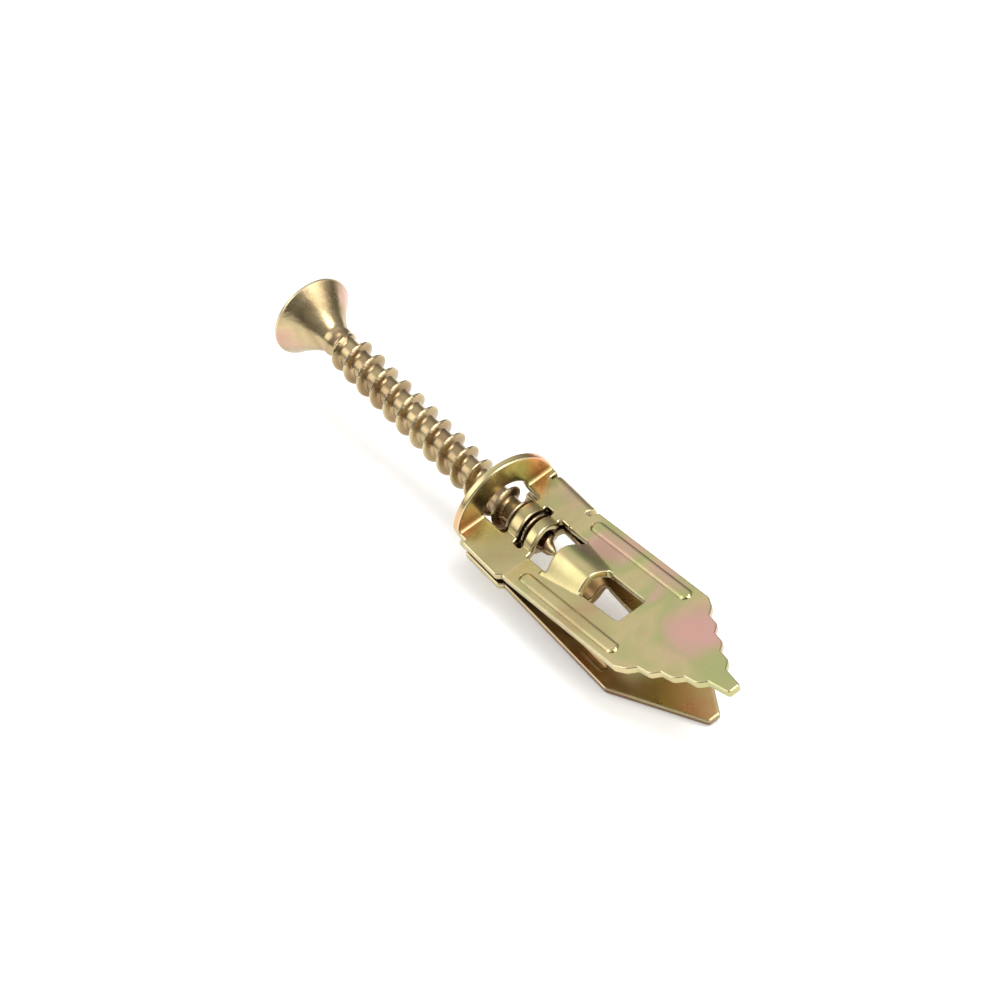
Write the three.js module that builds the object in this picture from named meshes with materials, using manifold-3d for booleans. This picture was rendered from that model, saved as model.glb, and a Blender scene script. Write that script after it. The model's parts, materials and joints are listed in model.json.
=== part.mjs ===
// Metal wall anchor for plasterboard: one strip of sheet steel, stamped and folded into a collar
// with two spreading legs, and the countersunk screw that drives through it.
//
// The anchor is modelled in its own frame: +Y along the screw towards its head, +Z out of the front
// plate, +X towards the fold, and y = 0 at the underside of the flange. "v" is the distance from
// that underside towards the point and "s" is the distance along a leg from its bend line. At the
// end the whole anchor is laid down the way it rests on a table, in a frame with +Z up. Millimetres.
import * as THREE from "three";
import { mergeVertices } from "three/addons/utils/BufferGeometryUtils.js";
import Module from "manifold-3d";

// Sheet
const sheet = 1.0; // thickness
const plateGap = 0.75; // between the front and rear plates
const innerFace = plateGap / 2; // height of a plate's inner face above the screw axis
const outerFace = innerFace + sheet;
const midFace = innerFace + sheet / 2;

// Collar
const flangeRadius = 6.3;
const flangeHoleRadius = 3.3;
const neckHalfWidth = 6.1; // next to the flange
const neckLength = 1.2;
const collarHalfWidth = 6.7;
const shoulder = 7.35; // v of the bend line where the legs begin
const openingHalfWidth = 2.75;

// Screw thread, right-handed
const pitch = 2.45;
const threadRadius = 2.3;
const coreRadius = 1.48;
const crestAtFront = 4.76; // v of a crest on the front side of the screw
const crestHalfWidth = 0.12;
const rootHalfWidth = 0.42;

// Bridge strips of the collar, which are the nut
const stripInnerRadius = 1.6;
const stripOuterRadius = 2.6;
const stripWidth = 1.3;
const stripFoot = 0.35; // how far a strip's foot runs into the plate
const stripsPerPlate = 2;

// Legs
const legHalfWidth = 6.2;
const bendGap = 0.5; // between collar and leg at the bend line
const frontSplay = 13.9; // degrees, as made
const rearSplay = 2.5;
const slotEnd = 3.75; // s where the opening ends and the channel begins
const channelHalfWidthStart = 2.6;
const channelHalfWidthEnd = 1.87;
const channelHeightStart = 1.75;
const channelHeightEnd = 1.08;
const channelWall = 0.45; // how much narrower the channel is inside
const ribOffset = 4.75;
const ribHalfWidth = 0.6;
const ribStart = 2.0;
const ribRise = 0.3;
const tipHalfWidth = 0.7;

// What differs between the legs. "corner" is the s where the point begins, and "shift" moves the
// channel and the window sideways, away from the fold.
const frontForm = {
  corner: 20.4,
  length: 32.7,
  ribEnd: 18.8,
  channelEnd: 9.05,
  windowEnd: 15.4,
  shift: -0.35,
  serrated: true,
};
const rearForm = {
  corner: 16.9,
  length: 27.0,
  ribEnd: 15.3,
  channelEnd: 7.0,
  windowEnd: 13.4,
  shift: 0.2,
  serrated: false,
};

// Teeth of the front point: each has a peak and a valley
const teeth = 4;
const firstPeak = { x: 5.5, s: 21.7 };
const firstValley = { x: 4.5, s: 22.5 };
const toothStep = { x: -1.18, s: 2.45 };

// Screw
const headRadius = 4.95;
const rimThickness = 0.5;
const headTop = 36.3; // y of the head's face
const coneLength = 4.4;
const flarePower = 1.5; // the cone's hollow shape: 1 would be straight
const rimChamfer = 0.15;
const rimStep = 0.25; // the cone begins this far inside the rim
const neckRadius = 1.75;
const threadTop = 31.0; // y where the thread begins
const tipDepth = 8.4; // v of the tip at rest
const tipLength = 4.2;
const recessDepth = 2.2;
const recessWidth = 1.0;
const recessSpan = 4.6;
const carrierRadius = 0.6; // core rod inside the screw
const carrierBore = 0.9;
const carrierEnd = 2.5; // v where the core rod ends
const endClearance = 0.3;

// Allowances for joining and cutting solids
const overlap = 0.01;
const skim = 0.1; // how far a shallow cut reaches past the face it opens
const reach = 1; // the same for a deep cut

// How the anchor lies on a table
const liePitch = 6.076; // degrees, head end up
const lieRoll = -15.805; // degrees about the screw

const screwSides = 16;
const rowsPerPitch = 8;
const arcSegments = 10;
const flareSteps = 6;
const rodSides = 12;
const degree = Math.PI / 180;

const wasm = await Module();
wasm.setup();

function toSolid(geometry) {
  const bare = geometry.clone();
  bare.deleteAttribute("normal");
  bare.deleteAttribute("uv");
  const merged = mergeVertices(bare);
  const corners = merged.index.array;
  const triVerts = [];
  for (let i = 0; i < corners.length; i += 3) {
    const [a, b, c] = [corners[i], corners[i + 1], corners[i + 2]];
    if (a !== b && b !== c && c !== a) triVerts.push(a, b, c);
  }
  const vertProperties = new Float32Array(merged.attributes.position.array);
  const mesh = new wasm.Mesh({ numProp: 3, vertProperties, triVerts: new Uint32Array(triVerts) });
  return new wasm.Manifold(mesh);
}

function toGeometry(solid) {
  const mesh = solid.getMesh();
  const geometry = new THREE.BufferGeometry();
  geometry.setAttribute("position", new THREE.BufferAttribute(mesh.vertProperties, 3));
  geometry.setIndex(new THREE.BufferAttribute(mesh.triVerts, 1));
  geometry.computeVertexNormals();
  return geometry;
}

// Moves every vertex of a geometry by a function of its position.
function reshape(geometry, move) {
  const position = geometry.attributes.position;
  const point = new THREE.Vector3();
  for (let i = 0; i < position.count; i++) {
    point.fromBufferAttribute(position, i);
    move(point);
    position.setXYZ(i, point.x, point.y, point.z);
  }
  return geometry;
}

function shapeFrom(points) {
  return new THREE.Shape(points.map(([x, y]) => new THREE.Vector2(x, y)));
}

// A section in the XZ plane, run from y = top towards -Y over a length.
function run(shape, top, length, steps = 1) {
  const options = { depth: length, steps, bevelEnabled: false, curveSegments: arcSegments };
  const geometry = new THREE.ExtrudeGeometry(shape, options);
  geometry.rotateX(Math.PI / 2);
  geometry.translate(0, top, 0);
  return geometry;
}

// A flat outline in the XY plane, given a thickness from z = low to z = high.
function plate(shape, low, high) {
  const options = { depth: high - low, bevelEnabled: false, curveSegments: arcSegments };
  const geometry = new THREE.ExtrudeGeometry(shape, options);
  geometry.translate(0, 0, low);
  return geometry;
}

function block(x0, x1, y0, y1, z0, z1) {
  const geometry = new THREE.BoxGeometry(x1 - x0, y1 - y0, z1 - z0);
  geometry.translate((x0 + x1) / 2, (y0 + y1) / 2, (z0 + z1) / 2);
  return toSolid(geometry);
}

// Collar -------------------------------------------------------------------------------------

// The two plates and the round fold that joins them, open on the -X side.
function foldedSection() {
  const halfWidth = collarHalfWidth;
  const foldCentre = halfWidth - outerFace;
  const shape = new THREE.Shape();
  shape.moveTo(-halfWidth, innerFace);
  shape.lineTo(-halfWidth, outerFace);
  shape.lineTo(foldCentre, outerFace);
  shape.absarc(foldCentre, 0, outerFace, Math.PI / 2, -Math.PI / 2, true);
  shape.lineTo(-halfWidth, -outerFace);
  shape.lineTo(-halfWidth, -innerFace);
  shape.lineTo(foldCentre, -innerFace);
  shape.absarc(foldCentre, 0, innerFace, -Math.PI / 2, Math.PI / 2, false);
  return shape;
}

function neckSection() {
  return shapeFrom([
    [-neckHalfWidth, innerFace],
    [-neckHalfWidth, outerFace],
    [neckHalfWidth, outerFace],
    [neckHalfWidth, innerFace],
  ]);
}

// Half of the flange: a half disc with half of the screw's clearance hole.
function halfFlange() {
  const start = Math.asin(innerFace / flangeRadius);
  const holeStart = Math.asin(innerFace / flangeHoleRadius);
  const shape = new THREE.Shape();
  shape.absarc(0, 0, flangeRadius, start, Math.PI - start, false);
  shape.absarc(0, 0, flangeHoleRadius, Math.PI - holeStart, holeStart, true);
  return run(shape, sheet, sheet);
}

// One bridge strip: a half-round hoop with two feet, swept along the thread's helix.
function bridgeStrip(centre) {
  const shoulderX = Math.sqrt(stripOuterRadius ** 2 - outerFace ** 2);
  const footX = openingHalfWidth + stripFoot;
  const outerStart = Math.atan2(outerFace, shoulderX);
  const innerStart = Math.asin(innerFace / stripInnerRadius);
  const shape = new THREE.Shape();
  shape.moveTo(footX, innerFace);
  shape.lineTo(footX, outerFace);
  shape.absarc(0, 0, stripOuterRadius, outerStart, Math.PI - outerStart, false);
  shape.lineTo(-footX, outerFace);
  shape.lineTo(-footX, innerFace);
  shape.absarc(0, 0, stripInnerRadius, Math.PI - innerStart, innerStart, true);
  const strip = run(shape, -centre + stripWidth / 2, stripWidth);
  return reshape(strip, (point) => {
    const turn = (Math.atan2(point.z, point.x) - Math.PI / 2) / (2 * Math.PI);
    point.y -= pitch * turn;
  });
}

// Strips lie midway between two crests of the thread. The rear plate's strips are half a pitch on.
function halfCollar(firstStrip) {
  const neck = run(neckSection(), overlap, neckLength + 2 * overlap);
  let half = toSolid(halfFlange()).add(toSolid(neck));
  for (let i = 0; i < stripsPerPlate; i++) {
    const strip = toSolid(bridgeStrip(firstStrip + i * pitch));
    half = i === 0 ? half.subtract(openingCut()).add(strip) : half.add(strip);
  }
  return half;
}

function openingCut() {
  const w = openingHalfWidth;
  return block(-w, w, -shoulder - skim, skim, innerFace - skim, outerFace + skim);
}

function turnedBack(solid) {
  return solid.rotate([0, 180, 0]);
}

function collar() {
  const folded = toSolid(run(foldedSection(), -neckLength, shoulder - neckLength));
  const cut = openingCut();
  const firstStrip = crestAtFront - pitch / 2;
  const front = halfCollar(firstStrip);
  const rear = turnedBack(halfCollar(firstStrip - pitch / 2));
  const plates = folded.subtract(cut).subtract(turnedBack(cut));
  return plates.add(front).add(rear);
}

// Legs ---------------------------------------------------------------------------------------

function serratedPoint(shape, side) {
  const at = (base, i) => [side * (base.x + i * toothStep.x), -(base.s + i * toothStep.s)];
  const steps = [...Array(teeth).keys()];
  const order = side > 0 ? steps : steps.reverse();
  for (const i of order) {
    const [peakX, peakY] = at(firstPeak, i);
    const [valleyX, valleyY] = at(firstValley, i);
    if (side > 0) {
      shape.lineTo(peakX, peakY);
      shape.lineTo(valleyX, valleyY);
    } else {
      shape.lineTo(valleyX, valleyY);
      shape.lineTo(peakX, peakY);
    }
  }
}

function legOutline({ corner, length, serrated }) {
  const shape = new THREE.Shape();
  shape.moveTo(legHalfWidth, -bendGap);
  shape.lineTo(legHalfWidth, -corner);
  if (serrated) serratedPoint(shape, 1);
  shape.lineTo(tipHalfWidth, -length);
  shape.lineTo(-tipHalfWidth, -length);
  if (serrated) serratedPoint(shape, -1);
  shape.lineTo(-legHalfWidth, -corner);
  shape.lineTo(-legHalfWidth, -bendGap);
  return shape;
}

// The channel's section at its wide end: everything under an arch of the given rise.
function archSection(halfWidth, base, rise, depth) {
  const points = [[halfWidth, base - depth]];
  for (let i = 0; i <= arcSegments; i++) {
    const x = halfWidth * (1 - (2 * i) / arcSegments);
    points.push([x, base + rise * Math.cos((Math.PI * x) / (2 * halfWidth))]);
  }
  points.push([-halfWidth, base - depth]);
  return shapeFrom(points);
}

// Narrows and lowers an arch evenly from the channel's start to its end, and moves it sideways.
function tapered(geometry, base, { channelEnd, shift }) {
  const widthRatio = channelHalfWidthEnd / channelHalfWidthStart;
  const heightRatio = channelHeightEnd / channelHeightStart;
  return reshape(geometry, (point) => {
    const along = (-point.y - slotEnd) / (channelEnd - slotEnd);
    point.x = shift + point.x * (1 + (widthRatio - 1) * along);
    if (point.z > base) point.z = base + (point.z - base) * (1 + (heightRatio - 1) * along);
  });
}

function rib(side, end) {
  const shape = new THREE.Shape();
  shape.absarc(0, -ribStart - ribHalfWidth, ribHalfWidth, 0, Math.PI, false);
  shape.absarc(0, -end + ribHalfWidth, ribHalfWidth, Math.PI, 2 * Math.PI, false);
  return plate(shape, 0, sheet / 2 + ribRise).translate(side * ribOffset, 0, 0);
}

// A flat leg in the XY plane, running towards -Y from the bend line, with its outer face up.
function leg(form) {
  const half = sheet / 2;
  const length = form.channelEnd - slotEnd;
  const top = sheet + channelHeightStart;
  const outerSection = archSection(channelHalfWidthStart, half, channelHeightStart, half);
  const outer = run(outerSection, -slotEnd, length);
  const innerHalfWidth = channelHalfWidthStart - channelWall;
  const innerSection = archSection(innerHalfWidth, -half, channelHeightStart, reach);
  const inner = run(innerSection, reach - slotEnd, length + 2 * reach);
  const w = openingHalfWidth;
  const left = form.shift - channelHalfWidthEnd;
  const right = form.shift + channelHalfWidthEnd;
  return toSolid(plate(legOutline(form), -half, half))
    .add(toSolid(tapered(outer, half, form)))
    .add(toSolid(rib(1, form.ribEnd)))
    .add(toSolid(rib(-1, form.ribEnd)))
    .subtract(toSolid(tapered(inner, -half, form)))
    .subtract(block(-w, w, -slotEnd, reach, -sheet, top))
    .subtract(block(left, right, -form.windowEnd, -form.channelEnd, -sheet, top));
}

// Screw --------------------------------------------------------------------------------------

function screwProfile() {
  const coneBottom = headTop - rimThickness - coneLength;
  const points = [
    [0, headTop],
    [headRadius - rimChamfer, headTop],
    [headRadius, headTop - rimChamfer],
    [headRadius, headTop - rimThickness],
  ];
  const coneRise = headRadius - rimStep - neckRadius;
  for (let i = 1; i <= flareSteps; i++) {
    const along = i / flareSteps;
    const radius = neckRadius + coneRise * (1 - along) ** flarePower;
    points.push([radius, headTop - rimThickness - coneLength * along]);
  }
  const rows = Math.round(((threadTop + tipDepth) / pitch) * rowsPerPitch);
  for (let i = 0; i < rows; i++) {
    const y = threadTop - ((threadTop + tipDepth) * i) / rows;
    if (y < coneBottom) points.push([coreRadiusAt(y), y]);
  }
  points.push([0, -tipDepth]);
  return points.map(([x, y]) => new THREE.Vector2(x, y)).reverse();
}

// The core tapers from the neck to the thread's root at the top and to a point at the tip.
function coreRadiusAt(y) {
  const toTip = Math.min((y + tipDepth) / tipLength, 1);
  const toNeck = Math.max((y - threadTop + pitch) / pitch, 0);
  return coreRadius * Math.sqrt(toTip) + (neckRadius - coreRadius) * toNeck;
}

// Height of the helical ridge above the core at a point of the screw's surface.
function ridgeAt(point) {
  const turn = (Math.atan2(point.z, point.x) - Math.PI / 2) / (2 * Math.PI);
  const phase = (-point.y - crestAtFront) / pitch - turn;
  const distance = Math.abs(phase - Math.round(phase)) * pitch;
  const flank = (rootHalfWidth - distance) / (rootHalfWidth - crestHalfWidth);
  const shape = Math.min(Math.max(flank, 0), 1);
  const fadeIn = Math.min(Math.max((threadTop - point.y) / pitch, 0), 1);
  const fadeOut = Math.min(Math.max((point.y + tipDepth) / tipLength, 0), 1);
  return (threadRadius - coreRadius) * shape * fadeIn * fadeOut;
}

function screw() {
  const turned = new THREE.LatheGeometry(screwProfile(), screwSides);
  reshape(turned, (point) => {
    const radius = Math.hypot(point.x, point.z);
    if (radius < overlap || point.y >= threadTop) return;
    const scale = (radius + ridgeAt(point)) / radius;
    point.x *= scale;
    point.z *= scale;
  });
  const floor = headTop - recessDepth;
  const a = recessSpan / 2;
  const b = recessWidth / 2;
  const boreLength = floor + reach + carrierEnd + endClearance;
  const bore = new THREE.CylinderGeometry(carrierBore, carrierBore, boreLength, rodSides);
  bore.translate(0, floor + reach - boreLength / 2, 0);
  return toSolid(turned)
    .subtract(block(-a, a, floor, headTop + reach, -b, b))
    .subtract(block(-b, b, floor, headTop + reach, -a, a))
    .subtract(toSolid(bore));
}

function carrier() {
  const length = headTop - recessDepth + carrierEnd;
  const rod = new THREE.CylinderGeometry(carrierRadius, carrierRadius, length, rodSides);
  return rod.translate(0, length / 2 - carrierEnd, 0);
}

// Assembly -----------------------------------------------------------------------------------

function zincSteel(color) {
  return new THREE.MeshStandardMaterial({ color, roughness: 0.3, metalness: 0.9 });
}

function named(name, geometry, color) {
  const mesh = new THREE.Mesh(geometry, zincSteel(color));
  mesh.name = name;
  return mesh;
}

const anchor = new THREE.Group();
anchor.add(named("folded_collar", toGeometry(collar()), 0xc4b878));

const frontLeg = named("front_leg", toGeometry(leg(frontForm)), 0xbcb06c);
frontLeg.position.set(0, -shoulder, midFace);
frontLeg.rotation.x = -frontSplay * degree;
anchor.add(frontLeg);

const rearSide = new THREE.Group();
rearSide.rotation.y = Math.PI;
const rearLeg = named("rear_leg", toGeometry(leg(rearForm)), 0x9a8550);
rearLeg.position.set(0, -shoulder, midFace);
rearLeg.rotation.x = -rearSplay * degree;
rearSide.add(rearLeg);
anchor.add(rearSide);

anchor.add(named("screw", toGeometry(screw()), 0xb8a070));
anchor.add(named("screw_core", carrier(), 0xb8a070));

anchor.rotation.set(liePitch * degree, lieRoll * degree, 0, "XYZ");

// The origin is on the table, under the middle of the anchor.
const wallAnchor = new THREE.Group();
wallAnchor.add(anchor);
wallAnchor.updateMatrixWorld(true);
const box = new THREE.Box3().setFromObject(wallAnchor, true);
const middle = box.getCenter(new THREE.Vector3());
anchor.position.set(-middle.x, -middle.y, -box.min.z);

export default wallAnchor;
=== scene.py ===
import json
import math

import bmesh
import bpy
import numpy as np
from mathutils import Matrix, Vector, kdtree
from mathutils.geometry import delaunay_2d_cdt


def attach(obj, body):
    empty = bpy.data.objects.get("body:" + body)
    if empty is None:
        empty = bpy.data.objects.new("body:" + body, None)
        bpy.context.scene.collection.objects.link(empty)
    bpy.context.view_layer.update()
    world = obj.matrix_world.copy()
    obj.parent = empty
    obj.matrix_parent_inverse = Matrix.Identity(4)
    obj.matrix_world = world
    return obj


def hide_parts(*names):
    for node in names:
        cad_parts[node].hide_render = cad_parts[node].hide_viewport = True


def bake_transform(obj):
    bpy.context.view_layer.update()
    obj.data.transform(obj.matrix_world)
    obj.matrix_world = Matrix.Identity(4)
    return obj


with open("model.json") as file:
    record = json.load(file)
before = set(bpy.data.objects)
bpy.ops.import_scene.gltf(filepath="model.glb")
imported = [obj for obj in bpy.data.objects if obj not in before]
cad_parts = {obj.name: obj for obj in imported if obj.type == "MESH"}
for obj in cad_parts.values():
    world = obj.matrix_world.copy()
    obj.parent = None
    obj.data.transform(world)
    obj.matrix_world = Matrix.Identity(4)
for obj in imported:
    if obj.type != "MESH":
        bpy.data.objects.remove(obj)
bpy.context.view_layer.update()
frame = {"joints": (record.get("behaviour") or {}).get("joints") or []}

# The anchor's own frame: +Y along the screw to its head, +Z out of the front plate, +X to the
# fold, y = 0 at the underside of the flange. All shapes below are in millimetres in that frame.
JOINTS = {j["name"]: j for j in frame["joints"]}
AXIS_Y = -Vector(JOINTS["screw_turn"]["axis"]).normalized()
AXIS_X = Vector(JOINTS["rear_leg_spread"]["axis"]).normalized()
AXIS_Z = AXIS_X.cross(AXIS_Y)
ORIGIN = Vector(JOINTS["screw_turn"]["pos_m"])
TO_ROW = np.array([AXIS_X, AXIS_Y, AXIS_Z])

SHEET = 0.88  # thickness
MID = 0.875  # height of a plate's middle above the screw axis
COLLAR_HALF_WIDTH = 6.7
SHOULDER = 7.35  # distance of the bend line below the flange
SEAM_HALF_WIDTH = 5.3  # where the sheet is joined to the fold at the bend line
OPENING = 2.75  # half width of the openings
SLOT_END = 3.75  # distance along a leg where its opening ends and its channel begins
EDGE = 0.2  # radius of the sheet's worn edges
FOLD_START = 5.325
FOLD_LENGTH = math.pi * MID
FOLD_MIDDLE = FOLD_START + FOLD_LENGTH / 2
SLIT = 1.08  # where the neck parts from the fold
SLIT_X = 5.32
SLIT_ENDS = (-1.22, -0.92)  # lower and upper
FLANGE_BEND = 0.8
FLANGE_BEND_START = -0.3
FLANGE_BEND_LENGTH = FLANGE_BEND * math.pi / 2
FLANGE_SHIFT = 0.718  # from a height on the flange to a distance in its flat pattern
FLANGE_R = 6.3
FRONT_FLANGE_R = 6.5
FLANGE_FOOT = 1.675  # height above the screw axis where the bend ends
HOLE_R = 3.3
STRIP_MID_R = 2.1  # bridge strips: a half-round crown with a small round at each foot
STRIP_FOOT_R = 0.65
STRIP_FOOT_X = 2.288
STRIP_CROWN_X = 1.747
STRIPS_BELOW = -1.0  # the plates are arched only below this
# Ends of the openings between the bridge strips, at x = -OPENING and at x = OPENING: the foot of
# the screw's hole, and the top and foot of the slot. They slant as the screw's thread does.
FRONT_OPENINGS = {"hole": (-3.3, -2.15), "top": (-4.95, -3.6), "foot": (-6.0, -4.7)}
REAR_OPENINGS = {"hole": (-1.3, -2.5), "top": (-2.48, -3.68), "foot": (-3.58, -4.78)}
FRONT_LAST_STRIP = -6.0  # foot of the lowest strip, at x = OPENING only
REAR_LAST_STRIP = (-4.88, -6.08)
NECK_FOOT = -1.12
NECK_FOOT_AT_SLIT = -0.92
SIDE_TOP = (-1.2, 0.45)  # height and corner radius of the collar's sides at the top
SIDE_LOW = 0.5  # corner at the shoulder: height above the bend line and radius
SEAM_STEP = 0.22  # how far above the bend line the fold ends
PITCH = 2.45

# Legs
LEG_HALF_WIDTH = 6.2
LEG_BEND = 0.7  # length of the bend at the start of a leg
CHANNEL_HALF_WIDTHS = (2.6, 1.95)  # at its start and its end
CHANNEL_HEIGHTS = (1.75, 1.08)
CHANNEL_FOOT = 1.18  # how much wider the channel's soft foot is
RIB_OFFSET = 4.75
RIB_START = 2.6
RIB_ROUND = 0.6
RIB_HEIGHT = 0.22
RIB_FLAT = 0.32  # half width of a rib's crest
RIB_SLOPE = 0.3
WINDOW_EDGES = (-1.95, -1.75, 1.85)  # left at the top, left at the foot, and right
TIP_HALF_WIDTH = 0.75
TEETH = 4
FIRST_PEAK = (5.6, 21.7)  # across and along the leg
FIRST_VALLEY = (4.66, 22.5)
TOOTH_STEP = (-1.17, 2.45)
FRONT_LEG = {
    "splay": 13.9,  # degrees
    "corner": 20.4,  # where the point begins
    "length": 32.7,
    "rib_end": 18.8,
    "channel_end": 9.05,
    "window_end": 15.6,
    "shift": -0.35,  # of the channel and window, away from the fold
    "serrated": True,
}
REAR_LEG = {
    "splay": 2.5,
    "corner": 16.9,
    "length": 27.0,
    "rib_end": 15.3,
    "channel_end": 7.0,
    "window_end": 13.4,
    "shift": 0.2,
    "serrated": False,
}


def to_row(points):
    """From millimetres in the anchor's frame to metres in the shared frame."""
    return (np.asarray(points) @ TO_ROW) * 0.001 + np.array(ORIGIN)


# Outlines -----------------------------------------------------------------------------------


def rounded(corners, spacing=0.16):
    """A closed outline through corners (x, y, radius), with each corner rounded."""
    out = []
    n = len(corners)
    for i in range(n):
        p = np.array(corners[i][:2], float)
        r = corners[i][2] if len(corners[i]) > 2 else 0.0
        a = np.array(corners[i - 1][:2], float) - p
        b = np.array(corners[(i + 1) % n][:2], float) - p
        la, lb = np.linalg.norm(a), np.linalg.norm(b)
        a, b = a / la, b / lb
        angle = math.acos(max(-1.0, min(1.0, float(a @ b))))
        if r <= 0 or angle > math.pi - 0.02:
            out.append([p])
            continue
        reach = min(r / math.tan(angle / 2), 0.49 * la, 0.49 * lb)
        r = reach * math.tan(angle / 2)
        middle = (a + b) / np.linalg.norm(a + b)
        centre = p + middle * r / math.sin(angle / 2)
        start, end = p + a * reach - centre, p + b * reach - centre
        turn = math.pi - angle
        count = max(3, int(math.ceil(turn / math.radians(14))))
        arc = []
        for k in range(count + 1):
            t = k / count
            v = math.sin((1 - t) * turn) * start + math.sin(t * turn) * end
            arc.append(centre + v / math.sin(turn))
        out.append(arc)
    points = []
    for i in range(n):
        points.extend(out[i])
        p, q = out[i][-1], out[(i + 1) % n][0]
        count = int(np.linalg.norm(q - p) / spacing)
        for k in range(1, count):
            points.append(p + (q - p) * k / count)
    return np.array(points)


def arc_points(radius, start, end, count, lift=0.0):
    """Points of an arc between two angles in degrees, moved up by lift."""
    angles = np.radians(np.linspace(start, end, count))
    return [(radius * math.cos(t), radius * math.sin(t) + lift, 0) for t in angles]


def rims(loop, seam):
    """For each point of a loop: its inset place, the vector out to the rim, and the edge's radius.
    Points on a seam, where another piece carries on, keep a square edge."""
    ahead = np.roll(loop, -1, 0) - loop
    ahead /= np.linalg.norm(ahead, axis=1)[:, None]
    normal = np.stack([ahead[:, 1], -ahead[:, 0]], 1)
    before = np.roll(normal, 1, 0)
    mean = normal + before
    mean /= np.maximum(np.linalg.norm(mean, axis=1), 1e-6)[:, None]
    miter = np.minimum(1 / np.maximum((mean * normal).sum(1), 0.5), 1.4)
    out = mean * miter[:, None]
    radius = np.full(len(loop), EDGE)
    on_seam = np.zeros(len(loop), bool)
    if seam is not None:
        flags = np.array([seam(x, y) for x, y in loop])
        for i in np.nonzero(flags)[0]:
            previous, following = flags[i - 1], flags[(i + 1) % len(loop)]
            if previous and following:
                out[i], radius[i], on_seam[i] = normal[i], 0.004, True
            else:
                out[i] = normal[i] if previous else before[i]
    return loop - out * radius[:, None], out, radius, on_seam


def mark_edge_highlight(mesh, amounts):
    """Stores how much painted highlight each vertex gets, from 0 to 1, for the material to read."""
    layer = mesh.attributes.new("edge_highlight", "FLOAT", "POINT")
    layer.data.foreach_set("value", amounts.astype(np.float32))
    mesh.update()


def inside(points, loops):
    """Which points are inside an odd number of the loops."""
    hit = np.zeros(len(points), bool)
    x, y = points[:, 0], points[:, 1]
    for loop in loops:
        nxt = np.roll(loop, -1, 0)
        for (x0, y0), (x1, y1) in zip(loop, nxt):
            if y0 == y1:
                continue
            cross = ((y0 > y) != (y1 > y)) & (x < (x1 - x0) * (y - y0) / (y1 - y0) + x0)
            hit ^= cross
    return hit


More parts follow.
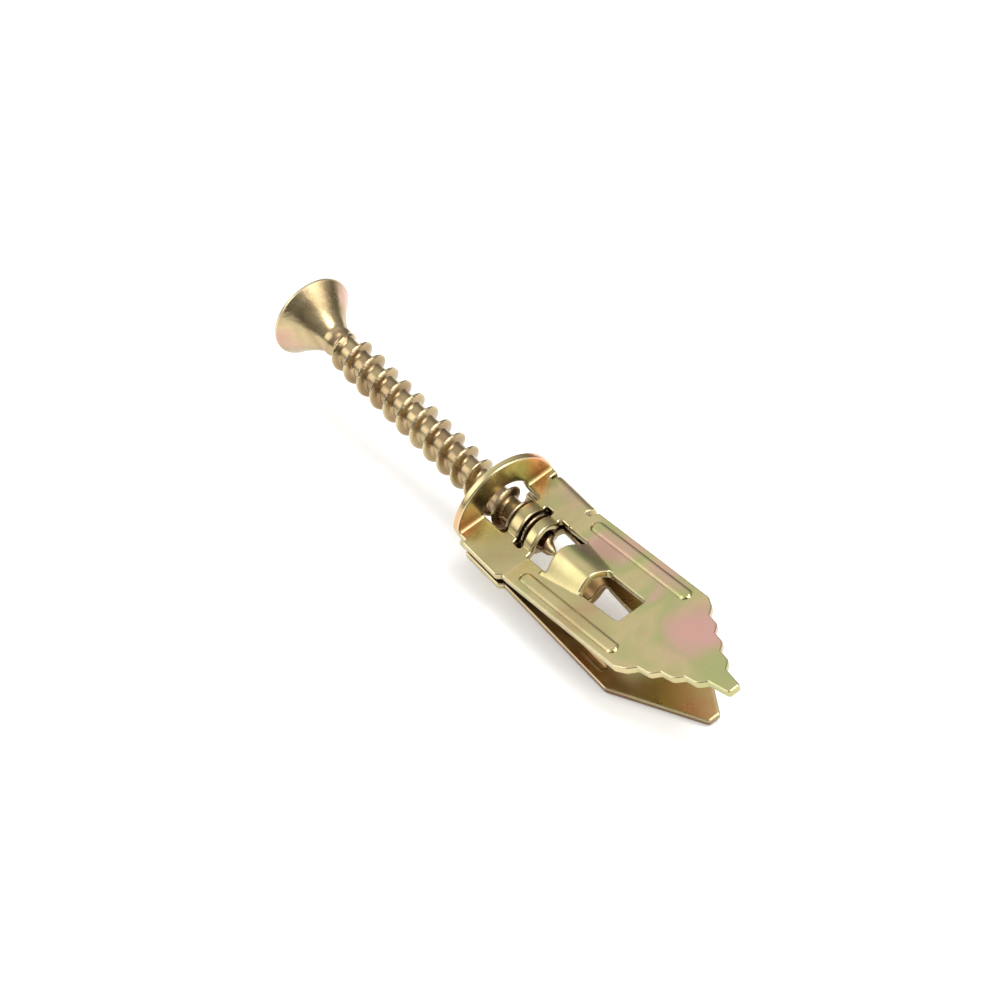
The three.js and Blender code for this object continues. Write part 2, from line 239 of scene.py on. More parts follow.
def sheet_mesh(name, loops, columns, rows, surface, seam=None, arc=4):
    """Closed mesh of a bent sheet. loops are flat outlines, the outer one counter-clockwise and the
    holes clockwise, and surface gives the middle of the sheet for points of the flat pattern."""
    edges_in = [rims(loop, seam) for loop in loops]
    flat = [e[0] for e in edges_in]
    tree = kdtree.KDTree(sum(len(f) for f in flat))
    k = 0
    for f in flat:
        for p in f:
            tree.insert((p[0], p[1], 0), k)
            k += 1
    tree.balance()
    grid = []
    for j, y in enumerate(rows):
        for i, x in enumerate(columns):
            step = columns[min(i + 1, len(columns) - 1)] - columns[max(i - 1, 0)]
            grid.append((x + (0.25 * step if j % 2 else 0), y))
    grid = np.array(grid)
    grid = grid[inside(grid, flat)]
    grid = np.array([g for g in grid if tree.find((g[0], g[1], 0))[2] > 0.085])
    points = np.concatenate(flat + [grid])
    constraints = []
    start = 0
    for f in flat:
        n = len(f)
        constraints += [(start + i, start + (i + 1) % n) for i in range(n)]
        start += n
    verts, _, faces, origin, _, _ = delaunay_2d_cdt(
        [Vector(p) for p in points], constraints, [], 0, 1e-7
    )
    flat_verts = np.array([(v.x, v.y) for v in verts])
    lookup = {}
    for new, olds in enumerate(origin):
        for old in olds:
            lookup[old] = new
    tri = np.array([f for f in faces if len(f) == 3])
    tri = tri[inside(flat_verts[tri].mean(1), flat)]
    used = np.unique(tri)
    renumber = np.full(len(flat_verts), -1)
    renumber[used] = np.arange(len(used))
    tri = renumber[tri]
    flat_used = flat_verts[used]
    a, b, c = (flat_used[tri[:, i]] for i in range(3))
    area = (b - a)[:, 0] * (c - a)[:, 1] - (b - a)[:, 1] * (c - a)[:, 0]
    tri[area < 0] = tri[area < 0][:, ::-1]

    def lifted(flat_points, height):
        step = 0.004
        centre = surface(flat_points)
        du = surface(flat_points + [step, 0]) - surface(flat_points - [step, 0])
        dv = surface(flat_points + [0, step]) - surface(flat_points - [0, step])
        normal = np.cross(du, dv)
        normal /= np.linalg.norm(normal, axis=1)[:, None]
        return centre + normal * np.asarray(height).reshape(-1, 1)

    half = SHEET / 2
    n = len(used)
    co = [lifted(flat_used, half), lifted(flat_used, -half)]
    edge_highlight = [np.zeros(2 * n)]
    quads, sharp = [], []
    total = 2 * n
    start = 0
    for f, out, radius, on_seam in edges_in:
        m = len(f)
        ids = renumber[[lookup[start + i] for i in range(m)]]
        start += m
        rings = [ids]
        for side in (1, -1):
            steps = range(1, arc + 1) if side > 0 else range(arc, 0, -1)
            for s in steps:
                t = math.pi / 2 * s / arc
                place = f + out * (radius * math.sin(t))[:, None]
                height = side * (half - radius + radius * math.cos(t))
                co.append(lifted(place, height))
                # Painted highlight: strongest half way round each rounded edge, none on a seam.
                edge_highlight.append(np.where(on_seam, 0.0, math.sin(2 * t)))
                rings.append(np.arange(total, total + m))
                total += m
        rings.append(ids + n)
        nxt = np.roll(np.arange(m), -1)
        for high, low in zip(rings, rings[1:]):
            quads.append(np.stack([low, low[nxt], high[nxt], high], 1))
            both = on_seam & on_seam[nxt]
            for i in np.nonzero(both)[0]:
                sharp.append((int(high[i]), int(high[nxt][i])))
                sharp.append((int(low[i]), int(low[nxt][i])))
    co = to_row(np.concatenate(co))
    faces = [tuple(map(int, t)) for t in tri]
    faces += [tuple(int(i) + n for i in t[::-1]) for t in tri]
    for q in quads:
        faces += [tuple(map(int, r)) for r in q]
    mesh = bpy.data.meshes.new(name)
    mesh.from_pydata([tuple(p) for p in co], [], faces)
    mark_edge_highlight(mesh, np.concatenate(edge_highlight))
    mesh.shade_smooth()
    wanted = {tuple(sorted(e)) for e in sharp}
    for e in mesh.edges:
        if tuple(sorted(e.vertices)) in wanted:
            e.use_edge_sharp = True
    obj = bpy.data.objects.new(name, mesh)
    bpy.context.scene.collection.objects.link(obj)
    return obj


# Collar -------------------------------------------------------------------------------------


def arch(x):
    """Rise of a bridge strip's middle over its plate."""
    x = np.abs(x)
    crown = np.sqrt(np.maximum(STRIP_MID_R**2 - x**2, 0))
    foot = MID + STRIP_FOOT_R - np.sqrt(np.maximum(STRIP_FOOT_R**2 - (x - STRIP_FOOT_X) ** 2, 0))
    return np.where(x < STRIP_CROWN_X, crown - MID, np.where(x < STRIP_FOOT_X, foot - MID, 0))


def rear(x):
    """Place in the collar's flat pattern of a point x of the rear plate."""
    return 2 * FOLD_START + FOLD_LENGTH - x


def collar_surface(q):
    """The middle of the collar's sheet: two plates, the fold between them and the flanges."""
    a, b = q[:, 0], q[:, 1]
    neck = b > -SLIT
    on_neck = np.where(a > FOLD_MIDDLE, np.pi, 0)
    turn = np.where(neck, on_neck, np.clip((a - FOLD_START) / MID, 0, np.pi))
    at_rear = turn >= np.pi - 1e-9
    at_front = turn <= 1e-9
    x = np.where(at_front, a, np.where(at_rear, rear(a), FOLD_START + MID * np.sin(turn)))
    past = b - FLANGE_BEND_START
    bend = np.clip(past / FLANGE_BEND, 0, np.pi / 2)
    y = np.where(past <= 0, b, FLANGE_BEND_START + FLANGE_BEND * np.sin(bend))
    lift = np.where(past <= 0, 0, FLANGE_BEND * (1 - np.cos(bend)))
    lift = lift + np.maximum(past - FLANGE_BEND_LENGTH, 0)
    lift = lift + np.where(b < STRIPS_BELOW, arch(x), 0)
    z = np.where(at_front, MID + lift, np.where(at_rear, -MID - lift, MID * np.cos(turn)))
    return np.stack([x, y, z], 1)


def plate_openings(ends):
    """Outlines of the screw's hole, with the slot above the strips, and of the slot between them."""
    w = OPENING
    hole = arc_points(HOLE_R, 149.4, 30.6, 40, -FLANGE_SHIFT)
    hole = [(-w, ends["hole"][0], 0.3), *hole, (w, ends["hole"][1], 0.3)]
    left, right = zip(ends["foot"], ends["top"])
    slot = [(-w, left[0], 0.25), (-w, left[1], 0.25), (w, right[1], 0.25), (w, right[0], 0.25)]
    return hole, slot


def collar_loops():
    """Flat pattern of the collar: its outline and four openings."""
    low = -SHOULDER
    side = COLLAR_HALF_WIDTH
    seam = SEAM_HALF_WIDTH
    flanges, necks = [], []
    for radius in (FRONT_FLANGE_R, FLANGE_R):
        start = math.degrees(math.asin(FLANGE_FOOT / radius))
        flanges.append(arc_points(radius, start, 180 - start, 70, -FLANGE_SHIFT))
        necks.append(radius * math.cos(math.radians(start)) - 0.005)
    front_neck, rear_neck = necks
    w = OPENING
    slit_low, slit_top = SLIT_ENDS
    outer = [(-LEG_HALF_WIDTH, low), (-w, low), (w, FRONT_LAST_STRIP, 0.3), (w, low), (seam, low)]
    outer += [(seam, low + SEAM_STEP), (rear(seam), low + SEAM_STEP), (rear(seam), low)]
    outer += [(rear(w), low), (rear(w), REAR_LAST_STRIP[1], 0.3)]
    outer += [(rear(-w), REAR_LAST_STRIP[0], 0.3), (rear(-w), low)]
    outer += [(rear(-LEG_HALF_WIDTH), low), (rear(-side), low + SIDE_LOW, SIDE_LOW)]
    outer += [(rear(-side), *SIDE_TOP), (rear(-rear_neck), NECK_FOOT, 0.1)]
    outer += [(rear(x), y, 0) for x, y, _ in flanges[1][::-1]]
    outer += [(rear(rear_neck), NECK_FOOT_AT_SLIT, 0.1)]
    outer += [(rear(SLIT_X), slit_top), (rear(SLIT_X), slit_low)]
    outer += [(SLIT_X, slit_low), (SLIT_X, slit_top), (front_neck, NECK_FOOT_AT_SLIT, 0.1)]
    outer += flanges[0]
    outer += [(-front_neck, NECK_FOOT, 0.1), (-side, *SIDE_TOP), (-side, low + SIDE_LOW, SIDE_LOW)]
    at_rear = [[(rear(c[0]), *c[1:]) for c in loop][::-1] for loop in plate_openings(REAR_OPENINGS)]
    return [rounded(c) for c in (outer, *plate_openings(FRONT_OPENINGS), *at_rear)]


def span(*parts):
    """Coordinates made of evenly spaced runs: (start, end, spacing), ..."""
    out = [np.arange(a, b, (b - a) / max(1, round((b - a) / h))) for a, b, h in parts]
    return np.unique(np.round(np.concatenate(out), 5))


def make_collar():
    """The collar's mesh, with its finest grid at the bridge strips and the bends."""
    front = [(-6.8, -2.9, 0.3), (-2.9, -1.1, 0.13), (-1.1, 1.1, 0.18), (1.1, 2.9, 0.13)]
    columns = span(*front, (2.9, 5.3, 0.3), (5.3, 8.1, 0.13), (8.1, rear(2.9), 0.3),
                   (rear(2.9), rear(-2.9), 0.16), (rear(-2.9), 20.2, 0.3))
    rows = span((-7.4, -0.35, 0.22), (-0.35, 1.05, 0.11), (1.05, 5.7, 0.35))

    def seam(x, y):
        return abs(y + SHOULDER) < 1e-6

    return sheet_mesh("collar_sheet", collar_loops(), columns, rows, collar_surface, seam)


# Legs ---------------------------------------------------------------------------------------


def smooth(t):
    """Eases from 0 to 1."""
    t = np.clip(t, 0, 1)
    return t * t * (3 - 2 * t)


def between(pair, t):
    """The value at share t from the first to the second."""
    return pair[0] + (pair[1] - pair[0]) * t


def leg_surface(form, side):
    """The middle of a leg's sheet. side is 1 for the front leg and -1 for the rear one."""
    table_s = np.linspace(-1, 40, 4101)
    angle = math.radians(form["splay"]) * smooth(table_s / LEG_BEND)
    ds = table_s[1] - table_s[0]
    zero = np.searchsorted(table_s, 0)
    along = np.cumsum(np.cos(angle)) * ds
    out = np.cumsum(np.sin(angle)) * ds
    along -= along[zero]
    out -= out[zero]

    def surface(q):
        x, s = q[:, 0], -q[:, 1]
        t = np.clip((s - SLOT_END) / (form["channel_end"] - SLOT_END), -0.1, 1.1)
        foot = CHANNEL_FOOT * between(CHANNEL_HALF_WIDTHS, t)
        across = np.clip(np.abs(x - form["shift"]) / foot, 0, 1)
        rise = between(CHANNEL_HEIGHTS, t) * np.cos(np.pi * across / 2) ** 1.5
        rise = rise * (s > SLOT_END - 0.6) * (s < form["channel_end"] + 0.6)
        for centre in (-RIB_OFFSET, RIB_OFFSET):
            ends = np.maximum(np.maximum(RIB_START - s, s - (form["rib_end"] - RIB_ROUND)), 0)
            distance = np.hypot(x - centre, ends)
            rise = rise + RIB_HEIGHT * (1 - smooth((distance - RIB_FLAT) / RIB_SLOPE))
        a = np.interp(s, table_s, angle)
        y = -SHOULDER - np.interp(s, table_s, along) + rise * np.sin(a)
        z = MID + np.interp(s, table_s, out) + rise * np.cos(a)
        return np.stack([side * x, y, side * z], 1)

    return surface


def leg_loops(form, side):
    """Flat pattern of a leg: its outline and its window."""
    w = OPENING
    c = form["shift"]
    channel_end, window_end, length = form["channel_end"], form["window_end"], form["length"]
    edge, seam = LEG_HALF_WIDTH, SEAM_HALF_WIDTH
    left, right = (-edge, seam) if side > 0 else (-seam, edge)
    outline = [(left, 0)]
    if left > -edge:
        outline += [(-seam, -0.45, 0.2), (-edge, -0.95, 0.45)]
    corner = (-form["corner"], 0.6 if form["serrated"] else 0.8)
    outline += [(-edge, *corner)]
    teeth = []
    if form["serrated"]:
        for i in range(TEETH):
            dx, ds = TOOTH_STEP[0] * i, TOOTH_STEP[1] * i
            teeth.append((FIRST_PEAK[0] + dx, FIRST_PEAK[1] + ds, 0.9))
            teeth.append((FIRST_VALLEY[0] + dx, FIRST_VALLEY[1] + ds, 0.1))
    outline += [(-x, -s, r) for x, s, r in teeth]
    outline += [(-TIP_HALF_WIDTH, -length, 0.35), (TIP_HALF_WIDTH, -length, 0.35)]
    outline += [(x, -s, r) for x, s, r in teeth[::-1]]
    outline += [(edge, *corner)]
    if right < edge:
        outline += [(edge, -0.95, 0.45), (seam, -0.45, 0.2)]
    outline += [(right, 0), (w, 0), (w, -SLOT_END, 0.3), (-w, -SLOT_END, 0.3), (-w, 0)]
    top_left, low_left, right_edge = (c + x for x in WINDOW_EDGES)
    window = [(low_left, -window_end, 0.35), (top_left, -channel_end, 0.3)]
    window += [(right_edge, -channel_end, 0.3), (right_edge, -window_end, 0.35)]
    return [rounded(outline), rounded(window)]


def make_leg(name, form, side):
    """A leg's mesh, with its finest grid at the ribs and the bend."""
    corner, length, rib_end = form["corner"], form["length"], form["rib_end"]
    ribs = [(-6.3, -5.5, 0.25), (-5.5, -4.0, 0.08), (-4.0, -2.8, 0.25)]
    other = [(2.8, 4.0, 0.25), (4.0, 5.5, 0.08), (5.5, 6.3, 0.25)]
    columns = span(*ribs, (-2.8, 2.8, 0.14), *other)
    rows = span((-length, -corner + 2, 0.35), (-corner + 2, -rib_end - 1, 0.3),
                (-rib_end - 1, -rib_end + 1, 0.14), (-rib_end + 1, -3.4, 0.24),
                (-3.4, -1.6, 0.14), (-1.6, 0.0, 0.12))

    def seam(x, y):
        return abs(y) < 1e-6

    surface = leg_surface(form, side)
    return sheet_mesh(name, leg_loops(form, side), columns, rows, surface, seam)


# Screw --------------------------------------------------------------------------------------

HEAD_TOP = 36.28
HEAD_R = 4.9
RIM = 0.42  # height of the head's straight rim
CONE = 4.4  # height of the flared cone below it
FLARE = 1.3  # the cone's hollow shape: 1 would be straight
NECK_R = 1.8
NECK_TAPER = 1.4
CORE_R = 1.48
THREAD_R = 2.38
THREAD_TOP = 31.0
TIP = -8.4
TIP_LENGTH = 4.2
CREST = 4.7  # distance below the flange of a crest on the front side
CREST_FLAT = 0.1
FLANK = 0.38
HEAD_BEVEL = 0.13
MOUTH = (4.7, 1.25, 0.3)  # of the cross recess: reach, width and inner radius
RECESS_DEPTH = 2.35
# Outlines of the recess below its mouth: reach, width, inner radius and depth
RECESS = [(4.5, 1.1, 0.3, 0.14), (3.1, 0.8, 0.22, 1.7), (2.4, 0.62, 0.2, 2.05)]


def screw_radius(y, turn):
    """Radius of the screw at height y and the painted highlight on its thread's crests, where turn
    is the share of a turn from +Z towards -X."""
    to_tip = np.clip((y - TIP) / TIP_LENGTH, 0, 1)
    core = CORE_R * to_tip**0.55
    core = core + (NECK_R - CORE_R) * smooth((y - THREAD_TOP + NECK_TAPER) / NECK_TAPER)
    cone = np.clip((y - (HEAD_TOP - RIM - CONE)) / CONE, 0, 1)
    core = core + (HEAD_R - 0.06 - NECK_R) * cone**FLARE
    phase = (-y - CREST) / PITCH - turn
    distance = np.abs(phase - np.round(phase)) * PITCH
    ridge = 1 - np.clip((distance - CREST_FLAT) / FLANK, 0, 1)
    ridge = ridge**0.85
    ridge = ridge * (1 - 0.10 * smooth(distance / 0.16) * (distance < 0.16))
    foot = 0.07 * np.exp(-(((distance - 0.5) / 0.13) ** 2))
    fade = smooth((THREAD_TOP - y) / (PITCH * 1.1)) * smooth((y - TIP) / 3.6 + 0.02)
    # The second value is the painted highlight on the thread's crests.
    return core + ((THREAD_R - CORE_R) * ridge + foot) * fade, smooth((ridge - 0.7) / 0.3) * fade


def cross(reach, width, inner):
    """A cross outline: its full reach and the width of its arms."""
    a, b = reach / 2, width / 2
    corners = [(a, -b), (a, b), (b, b), (b, a), (-b, a), (-b, b), (-a, b), (-a, -b), (-b, -b),
               (-b, -a), (b, -a), (b, -b)]
    radii = [0.22, 0.22, inner] * 4
    return rounded([(x, y, r) for (x, y), r in zip(corners, radii)], 99)


def make_screw():
    """The screw as one closed mesh: rings from tip to rim, then the head's face and recess."""
    sides = 96
    angle = np.arange(sides) * 2 * math.pi / sides
    turn = angle / (2 * math.pi)
    rows = list(np.arange(TIP + 0.05, THREAD_TOP + 0.3, 0.075))
    rows += list(np.linspace(THREAD_TOP + 0.4, HEAD_TOP - RIM - 0.02, 40))
    co, edge_highlight, faces = [], [], []
    for y in rows:
        r, highlight_share = screw_radius(np.full(sides, y), turn)
        edge_highlight.append(highlight_share)
        co.append(np.stack([-r * np.sin(angle), np.full(sides, y), r * np.cos(angle)], 1))
    # The head's rim rings get the full painted highlight.
    for y, r in ((HEAD_TOP - RIM + 0.04, HEAD_R), (HEAD_TOP - 0.12, HEAD_R),
                 (HEAD_TOP - 0.04, HEAD_R - 0.04), (HEAD_TOP, HEAD_R - HEAD_BEVEL)):
        co.append(np.stack([-r * np.sin(angle), np.full(sides, y), r * np.cos(angle)], 1))
        edge_highlight.append(np.ones(sides))
    count = len(co)
    for j in range(count - 1):
        for i in range(sides):
            k = (i + 1) % sides
            faces.append((j * sides + i, j * sides + k, (j + 1) * sides + k, (j + 1) * sides + i))
    co.append(np.array([[0, TIP, 0]]))
    tip = count * sides
    faces += [(tip, (i + 1) % sides, i) for i in range(sides)]
    total = tip + 1
    # The head's flat face, with a cross recess that narrows as it goes down.
    face_r = HEAD_R - HEAD_BEVEL
    ring = np.array([(-face_r * math.sin(t), face_r * math.cos(t)) for t in angle])
    mouth = cross(*MOUTH)
    levels = [(mouth, HEAD_TOP)]
    for reach, width, inner, depth in RECESS:
        levels.append((cross(reach, width, inner), HEAD_TOP - depth))
    m = len(mouth)
    points = np.concatenate([ring, mouth])
    constraints = [(i, (i + 1) % sides) for i in range(sides)]
    constraints += [(sides + i, sides + (i + 1) % m) for i in range(m)]
    verts, _, tris, origin, _, _ = delaunay_2d_cdt(
        [Vector(p) for p in points], constraints, [], 0, 1e-7
    )
    old = [o[0] for o in origin]
    top = (count - 1) * sides
    index = [top + o if o < sides else total + o - sides for o in old]
    for t in tris:
        middle = np.mean([[verts[i].x, verts[i].y] for i in t], axis=0)
        if not inside(middle[None], [mouth])[0]:
            faces.append(tuple(index[i] for i in t))
    for loop, y in levels:
        co.append(np.stack([loop[:, 0], np.full(m, y), loop[:, 1]], 1))
    co.append(np.array([[0, HEAD_TOP - RECESS_DEPTH, 0]]))
    for j in range(len(levels) - 1):
        for i in range(m):
            k = (i + 1) % m
            a, b = total + j * m, total + (j + 1) * m
            faces.append((a + i, a + k, b + k, b + i))
    last = total + (len(levels) - 1) * m
    faces += [(last + i, last + (i + 1) % m, total + len(levels) * m) for i in range(m)]
    mesh = bpy.data.meshes.new("screw")
    mesh.from_pydata([tuple(p) for p in to_row(np.concatenate(co))], [], faces)
    amounts = np.zeros(len(mesh.vertices))
    amounts[: count * sides] = np.concatenate(edge_highlight)
    mark_edge_highlight(mesh, amounts)
    mesh.shade_smooth()
    obj = bpy.data.objects.new("screw_visual", mesh)
    bpy.context.scene.collection.objects.link(obj)
    return obj


def tidy(obj, crease=None):
    """Makes a mesh's faces agree and marks its hard edges."""
    work = bmesh.new()
    work.from_mesh(obj.data)
    bmesh.ops.recalc_face_normals(work, faces=work.faces)
    open_edges = [e for e in work.edges if len(e.link_faces) != 2]
    print(obj.name, len(work.verts), "vertices", len(open_edges), "open edges")
    if crease is not None:
        for e in work.edges:
            if len(e.link_faces) == 2 and e.calc_face_angle() > crease:
                e.smooth = False
    work.to_mesh(obj.data)
    work.free()


# Finish -------------------------------------------------------------------------------------


def ramp(tree, factor, stops):
    """A colour ramp: stops are places from 0 to 1 with their colours."""
    node = tree.nodes.new("ShaderNodeValToRGB")
    tree.links.new(factor, node.inputs["Fac"])
    elements = node.color_ramp.elements
    while len(elements) < len(stops):
        elements.new(0.5)
    for e, (place, color) in zip(elements, stops):
        e.position = place
        e.color = (*color, 1)
    return node.outputs["Color"]


def linear(r, g, b):
    """A linear colour from screen values of 0 to 255."""
    return tuple(((c / 255 + 0.055) / 1.055) ** 2.4 for c in (r, g, b))


def noise(tree, vector, scale, detail=3.0, rough=0.5, warp=0.0):
    """A noise value from 0 to 1, with scale in cells per metre."""
    node = tree.nodes.new("ShaderNodeTexNoise")
    node.inputs["Scale"].default_value = scale
    node.inputs["Detail"].default_value = detail
    node.inputs["Roughness"].default_value = rough
    node.inputs["Distortion"].default_value = warp
    tree.links.new(vector, node.inputs["Vector"])
    return node.outputs["Fac"]


def mix(tree, factor, a, b):
    """Colour a with a share of colour b: each may be a value or another node's output."""
    node = tree.nodes.new("ShaderNodeMix")
    node.data_type = "RGBA"
    for value, slot in ((factor, 0), (a, 6), (b, 7)):
        if hasattr(value, "links"):
            tree.links.new(value, node.inputs[slot])
        elif slot == 0:
            node.inputs[slot].default_value = value
        else:
            node.inputs[slot].default_value = (*value, 1)
    return node.outputs[2]


def scaled(tree, value, low, high, out_low, out_high):
    """A value moved from one range to another, and kept inside it."""
    node = tree.nodes.new("ShaderNodeMapRange")
    tree.links.new(value, node.inputs["Value"])
    limits = {"From Min": low, "From Max": high, "To Min": out_low, "To Max": out_high}
    for key, number in limits.items():
        node.inputs[key].default_value = number
    return node.outputs["Result"]


def plated_steel(name, bands, patches, rough, recess=0.6, beaten=0.0):
    """Yellow zinc plating: soft bands of colour over steel, stains at given places (some of them
    painted shade and painted reflections), painted shade in recesses and a painted highlight on
    rounded edges. beaten adds the unevenness of a rolled thread."""
    material = bpy.data.materials.new(name)
    material.use_nodes = True
    tree = material.node_tree
    tree.nodes.clear()
    output = tree.nodes.new("ShaderNodeOutputMaterial")
    shader = tree.nodes.new("ShaderNodeBsdfPrincipled")
    vector = tree.nodes.new("ShaderNodeTexCoord").outputs["Object"]
    broad = noise(tree, vector, 110, 2.0, 0.45, 0.4)
    fine = noise(tree, vector, 420, 4.0, 0.6, 0.3)
    speck = noise(tree, vector, 2600, 3.0, 0.65)
    color = ramp(tree, scaled(tree, broad, 0.3, 0.7, 0.0, 1.0), bands)
    film = ramp(tree, scaled(tree, fine, 0.3, 0.7, 0.0, 1.0), TINT)
    color = mix(tree, 0.12, color, film)
    ragged = scaled(tree, noise(tree, vector, 260, 3.0, 0.55, 0.5), 0.3, 0.7, -0.0009, 0.0009)
    # Each patch mixes in its colour: a stain, or at some places painted shade or a painted
    # reflection, as listed with the patches.
    for centre, radius, patch_colour, strength in patches:
        away = tree.nodes.new("ShaderNodeVectorMath")
        away.operation = "DISTANCE"
        away.inputs[1].default_value = centre
        tree.links.new(vector, away.inputs[0])
        uneven = tree.nodes.new("ShaderNodeMath")
        tree.links.new(away.outputs["Value"], uneven.inputs[0])
        tree.links.new(ragged, uneven.inputs[1])
        spread = tree.nodes.new("ShaderNodeMapRange")
        spread.interpolation_type = "SMOOTHSTEP"
        tree.links.new(uneven.outputs["Value"], spread.inputs["Value"])
        limits = {"From Min": radius * 0.00025, "From Max": radius * 0.001}
        for key, number in {**limits, "To Min": strength, "To Max": 0.0}.items():
            spread.inputs[key].default_value = number
        color = mix(tree, spread.outputs["Result"], color, patch_colour)
    dirt = scaled(tree, speck, 0.62, 0.85, 0.0, 0.12)
    color = mix(tree, dirt, color, DIRT)
    # Painted shade: ambient occlusion darkens recesses, creases and the thread's flanks towards dark
    # brown; recess sets how strongly.
    shade = tree.nodes.new("ShaderNodeAmbientOcclusion")
    shade.samples = 8
    shade.inputs["Distance"].default_value = 0.0025
    occlusion_shade = scaled(tree, shade.outputs["AO"], 0.4, 0.92, recess, 0.0)
    color = mix(tree, occlusion_shade, color, SHADE_BROWN)
    # Painted highlight: pale cream mixed in on the rounded sheet edges, the thread's crests and the
    # head's rim.
    edge_highlight = tree.nodes.new("ShaderNodeAttribute")
    edge_highlight.attribute_name = "edge_highlight"
    highlight_share = scaled(tree, edge_highlight.outputs["Fac"], 0.2, 1.0, 0.0, 0.42)
    color = mix(tree, highlight_share, color, HIGHLIGHT_CREAM)
    tree.links.new(color, shader.inputs["Base Color"])
    shader.inputs["Metallic"].default_value = 1.0
    tree.links.new(scaled(tree, fine, 0.25, 0.75, *rough), shader.inputs["Roughness"])
    stretch = tree.nodes.new("ShaderNodeMapping")
    stretch.inputs["Scale"].default_value = (1.0, 0.08, 1.0)
    tree.links.new(vector, stretch.inputs["Vector"])
    lines = noise(tree, stretch.outputs["Vector"], 3200, 2.0, 0.6)
    peel = noise(tree, vector, 900, 2.0, 0.5)
    height = tree.nodes.new("ShaderNodeMath")
    height.operation = "MULTIPLY_ADD"
    height.inputs[1].default_value = 0.35
    tree.links.new(lines, height.inputs[0])
    tree.links.new(peel, height.inputs[2])
    bump = tree.nodes.new("ShaderNodeBump")
    bump.inputs["Strength"].default_value = 0.16 + 0.5 * beaten
    bump.inputs["Distance"].default_value = 0.00006
    tree.links.new(height.outputs["Value"], bump.inputs["Height"])
    tree.links.new(bump.outputs["Normal"], shader.inputs["Normal"])
    tree.links.new(shader.outputs["BSDF"], output.inputs["Surface"])
    return material


OLIVE = linear(188, 178, 128)
YELLOW = linear(200, 184, 138)
GREEN = linear(174, 178, 122)
DEEP_GREEN = linear(136, 134, 78)
PINK = linear(214, 166, 158)
TAN = linear(184, 158, 118)
BROWN = linear(132, 98, 62)
ORANGE = linear(226, 158, 116)
BRONZE = linear(170, 146, 112)
SAND = linear(196, 176, 136)
# Colour of the painted highlight on edges and crests.
HIGHLIGHT_CREAM = linear(238, 228, 196)
DIRT = linear(110, 84, 42)
# Colour of the painted shade in recesses.
SHADE_BROWN = linear(96, 52, 26)

SHEET_BANDS = [(0.0, TAN), (0.3, OLIVE), (0.5, YELLOW), (0.72, GREEN), (1.0, PINK)]
# Painted shade: the rear leg's bands are a darker, browner copy of the sheet's.
REAR_SHADE_BANDS = [(0.0, BROWN), (0.35, TAN), (0.65, OLIVE), (1.0, TAN)]
SCREW_BANDS = [(0.0, BROWN), (0.35, BRONZE), (0.55, SAND), (0.8, BRONZE), (1.0, SAND)]
TINT = [(0.0, PINK), (0.3, YELLOW), (0.6, GREEN), (1.0, TAN)]


def row_point(x, y, z):
    """One point of the anchor's frame, in the shared frame."""
    return tuple(float(v) for v in to_row([[x, y, z]])[0])


def on_leg(x, s, form=FRONT_LEG, side=1):
    """Row place of a point on a leg, x across and s along it."""
    a = math.radians(form["splay"])
    return row_point(side * x, -SHOULDER - s * math.cos(a), side * (MID + s * math.sin(a)))


# Stains in the plating, and at some places painted shade and painted reflections: place, radius in
# millimetres, colour and strength.
FRONT_PATCHES = [
    (on_leg(2.5, 23.2), 5.2, PINK, 0.9),
    (on_leg(5.9, 8.0), 2.8, PINK, 0.6),
    (on_leg(6.0, 14.0), 3.0, PINK, 0.6),
    (on_leg(0.5, 30.0), 4.5, GREEN, 0.9),
    (on_leg(2.2, 6.0), 3.0, DEEP_GREEN, 0.3),
    (row_point(6.3, -4.2, 1.4), 3.0, PINK, 0.4),
    # Painted shade: dark olive smudges on the collar just below the flange's bend, on both sides.
    (row_point(4.6, -1.2, 1.4), 2.0, DEEP_GREEN, 0.6),
    (row_point(-4.9, -1.3, 1.4), 1.8, DEEP_GREEN, 0.4),
    # Painted reflection: the orange of the collar and screw below, painted on the flange's
    # underside.
    (row_point(5.0, 0.4, 3.8), 2.8, ORANGE, 0.9),
    (row_point(-5.0, 0.0, 2.6), 2.6, ORANGE, 0.5),
]
# Painted shade: the rear leg, behind the front leg, is darkened brown over most of its length.
REAR_SHADE_PATCHES = [(on_leg(0.0, 3.0, REAR_LEG, -1), 14.0, BROWN, 0.8)]
SCREW_PATCHES = [
    (row_point(4.8, 35.2, 0.5), 2.6, PINK, 0.6),
    (row_point(-4.0, 35.0, 0.0), 2.6, PINK, 0.4),
]

FINISHES = {
    "collar_sheet": plated_steel("collar_plating", SHEET_BANDS, FRONT_PATCHES, (0.2, 0.32)),
    "front_leg_sheet": plated_steel("front_leg_plating", SHEET_BANDS, FRONT_PATCHES, (0.2, 0.32)),
    "rear_leg_sheet": plated_steel("rear_leg_plating", REAR_SHADE_BANDS, REAR_SHADE_PATCHES, (0.24, 0.38), 0.8),
    "screw_steel": plated_steel("screw_plating", SCREW_BANDS, SCREW_PATCHES, (0.2, 0.36), 0.85, 1.0),
}


def dressed(obj, slot):
    """Gives a piece its plating and its material slot."""
    obj.data.materials.append(FINISHES[slot])
    return obj


# Pieces -------------------------------------------------------------------------------------


collar = dressed(make_collar(), "collar_sheet")
tidy(collar)
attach(collar, "collar")
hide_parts("folded_collar")

front = dressed(make_leg("front_leg_sheet", FRONT_LEG, 1), "front_leg_sheet")
tidy(front)
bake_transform(front)
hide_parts("front_leg")

back = dressed(make_leg("rear_leg_sheet", REAR_LEG, -1), "rear_leg_sheet")
tidy(back)
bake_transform(back)
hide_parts("rear_leg")

screw = dressed(make_screw(), "screw_steel")
tidy(screw, math.radians(50))
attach(screw, "screw")
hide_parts("screw", "screw_core")

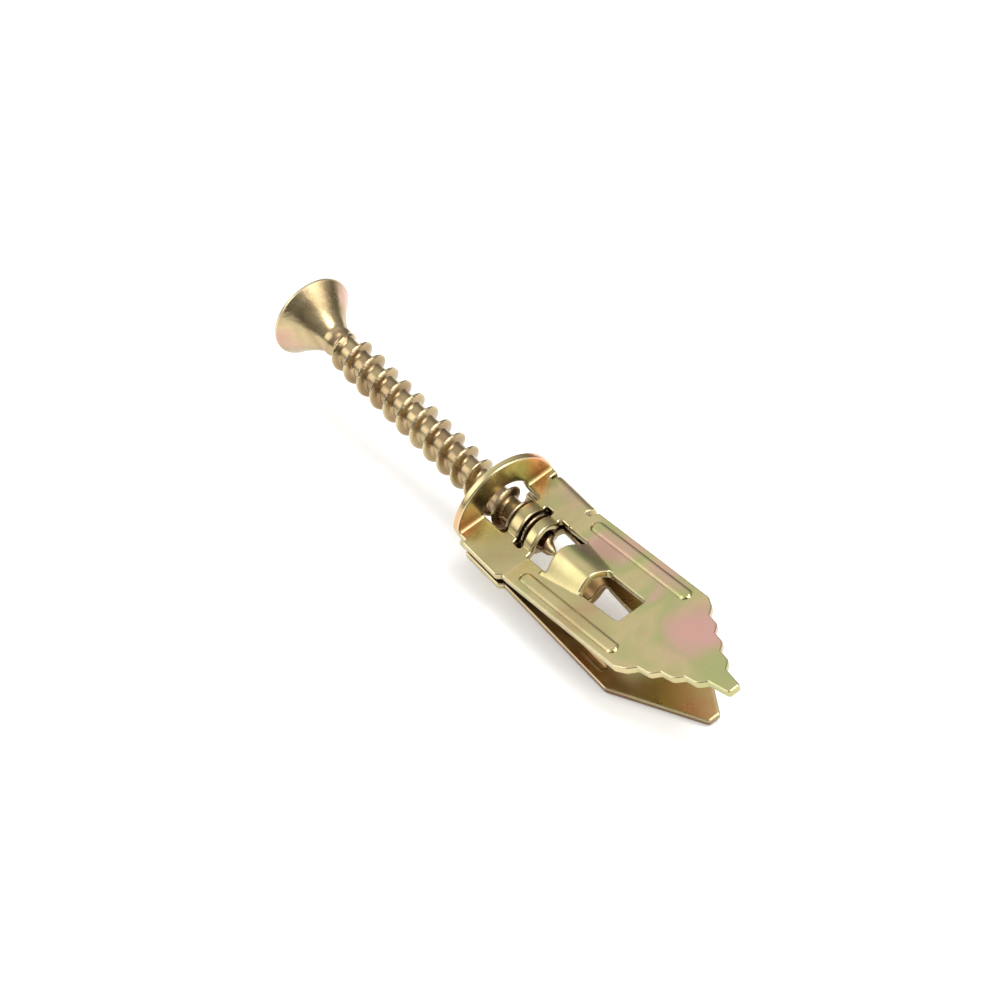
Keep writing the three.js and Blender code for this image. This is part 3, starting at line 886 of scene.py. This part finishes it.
# Floor, light and camera --------------------------------------------------------------------


TARGET = (0, 0, 0.005)  # where the light points


def floor():
    """A pale floor that glows a little, so that it renders near white."""
    bpy.ops.mesh.primitive_plane_add(size=3.0, location=(0, 0, 0))
    plane = bpy.context.object
    plane.name = "floor"
    material = bpy.data.materials.new("pale_floor")
    material.use_nodes = True
    tree = material.node_tree
    tree.nodes.clear()
    output = tree.nodes.new("ShaderNodeOutputMaterial")
    diffuse = tree.nodes.new("ShaderNodeBsdfDiffuse")
    diffuse.inputs["Color"].default_value = (0.9, 0.9, 0.9, 1)
    glow = tree.nodes.new("ShaderNodeEmission")
    glow.inputs["Strength"].default_value = 0.3
    both = tree.nodes.new("ShaderNodeAddShader")
    tree.links.new(diffuse.outputs["BSDF"], both.inputs[0])
    tree.links.new(glow.outputs["Emission"], both.inputs[1])
    tree.links.new(both.outputs["Shader"], output.inputs["Surface"])
    plane.data.materials.append(material)


def softbox(name, place, size, power):
    """A rectangular area light that points at the part."""
    data = bpy.data.lights.new(name, "AREA")
    data.shape = "RECTANGLE"
    data.size, data.size_y = size
    data.energy = power
    obj = bpy.data.objects.new(name, data)
    obj.location = place
    direction = Vector(TARGET) - Vector(place)
    obj.rotation_euler = direction.to_track_quat("-Z", "Y").to_euler()
    bpy.context.scene.collection.objects.link(obj)


def studio():
    """A dim room with broad soft lights: behind, behind to the left, overhead and front right."""
    world = bpy.data.worlds.new("studio")
    world.use_nodes = True
    tree = world.node_tree
    direction = tree.nodes.new("ShaderNodeTexCoord").outputs["Generated"]

    def lobe(toward, inner, outer, strength, floor_value=0.0):
        dot = tree.nodes.new("ShaderNodeVectorMath")
        dot.operation = "DOT_PRODUCT"
        dot.inputs[1].default_value = Vector(toward).normalized()
        tree.links.new(direction, dot.inputs[0])
        tone = tree.nodes.new("ShaderNodeMapRange")
        tone.interpolation_type = "SMOOTHSTEP"
        values = {
            "From Min": math.cos(math.radians(outer)),
            "From Max": math.cos(math.radians(inner)),
            "To Min": floor_value,
            "To Max": strength,
        }
        for key, number in values.items():
            tone.inputs[key].default_value = number
        tree.links.new(dot.outputs["Value"], tone.inputs["Value"])
        return tone.outputs["Result"]

    total = lobe((0.0, 0.25, 1.0), 10, 105, 0.52, 0.07)
    lobes = [
        lobe((0.1, 0.75, 0.62), 12, 42, 0.5),
        lobe((-0.66, 0.5, 0.55), 8, 30, 2.0),
        lobe((0.0, -0.22, 0.97), 8, 28, 0.9),
        lobe((0.4, -0.78, 0.46), 8, 30, 2.8),
    ]
    for extra in lobes:
        add = tree.nodes.new("ShaderNodeMath")
        tree.links.new(total, add.inputs[0])
        tree.links.new(extra, add.inputs[1])
        total = add.outputs["Value"]
    background = tree.nodes["Background"]
    background.inputs["Color"].default_value = (1.0, 0.985, 0.965, 1)
    tree.links.new(total, background.inputs["Strength"])
    bpy.context.scene.world = world


floor()
studio()
softbox("key", (0.08, -0.14, 0.5), (0.24, 0.24), 1.1)
bpy.context.scene.view_settings.view_transform = "Standard"

camera_data = bpy.data.cameras.new("camera")
camera_data.lens = 131.117  # worked out from the photo's perspective
camera_data.sensor_width = 36
camera_data.clip_start = 0.01
camera = bpy.data.objects.new("camera", camera_data)
FORWARD = Vector((0.47490145, 0.61191242, -0.63248071)).normalized()
DOWN = Vector((-0.37531106, -0.50923648, -0.77448037)).normalized()
RIGHT = DOWN.cross(FORWARD)
CAMERA_PLACE = Vector((-0.18226698, -0.23268351, 0.24993995))
frame_matrix = Matrix((RIGHT, -DOWN, -FORWARD)).transposed().to_4x4()
frame_matrix.translation = CAMERA_PLACE
camera.matrix_world = frame_matrix
bpy.context.scene.collection.objects.link(camera)
bpy.context.scene.camera = camera
